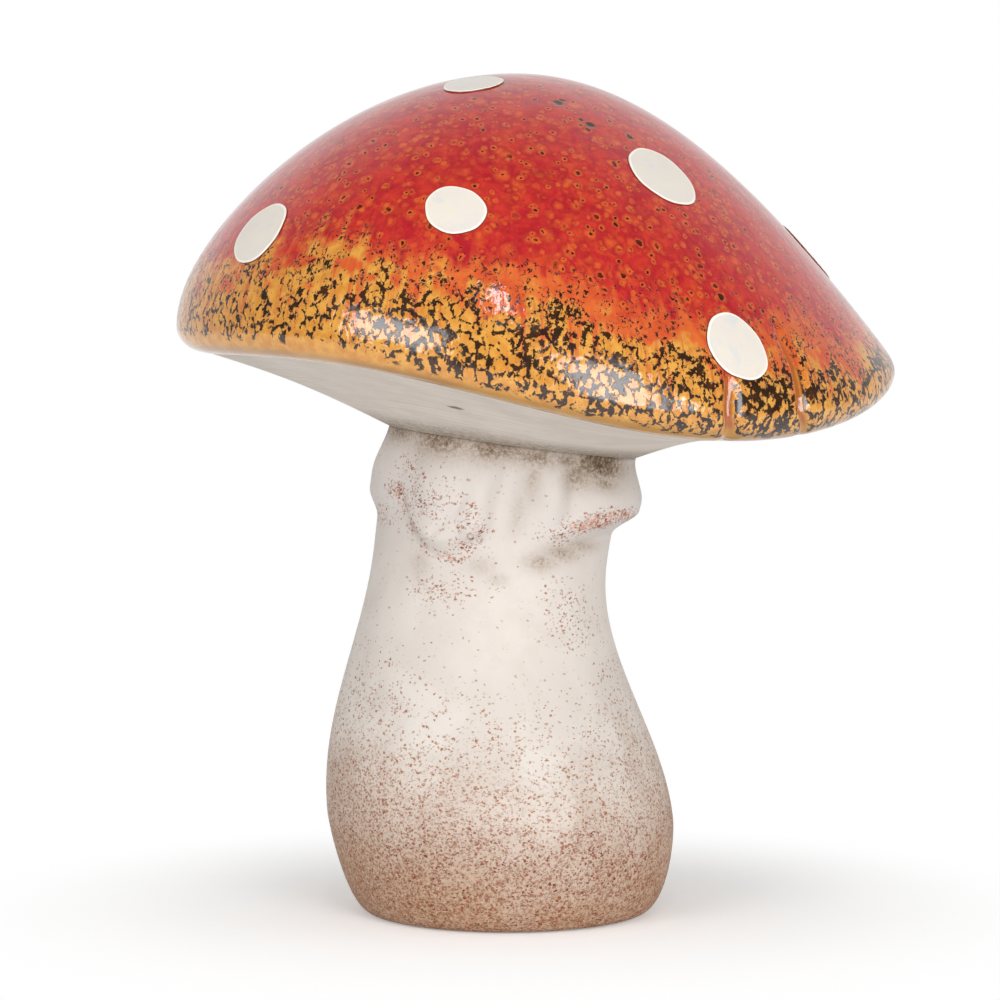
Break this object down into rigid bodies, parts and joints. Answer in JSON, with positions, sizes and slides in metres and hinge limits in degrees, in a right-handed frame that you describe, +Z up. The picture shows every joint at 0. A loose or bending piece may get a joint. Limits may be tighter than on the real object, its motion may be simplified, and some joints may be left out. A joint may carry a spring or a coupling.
{
  "type": "mushroom ornament",
  "caption": "Free-standing ceramic toadstool ornament: hollow glazed cap with cream spots on a hollow stem with a draped collar and a flat foot.",
  "frame": {"origin": "middle of the stem's flat foot, on the surface that the ornament stands on", "axes": "+Z up, -Y towards the viewer of the picture, +X to the right in it"},
  "size_m": [0.204, 0.2, 0.2382],
  "materials": {
    "cap_glaze": "high gloss reactive glaze, red running to ochre with dark flecks",
    "cream_enamel": "gloss cream enamel",
    "underside_bisque": "matte light grey paint with brush lines",
    "stem_bisque": "satin off-white paint with red-brown specks"
  },
  "bodies": {
    "root": {"cap_dome": "cap_glaze", "cap_underside": "underside_bisque", "stem": "stem_bisque", "cream_spot_1": "cream_enamel", "cream_spot_2": "cream_enamel", "cream_spot_3": "cream_enamel", "cream_spot_4": "cream_enamel", "cream_spot_5": "cream_enamel", "cream_spot_6": "cream_enamel", "cream_spot_7": "cream_enamel", "cream_spot_8": "cream_enamel", "cream_spot_9": "cream_enamel", "cream_spot_10": "cream_enamel", "cream_spot_11": "cream_enamel"}
  },
  "joints": []
}
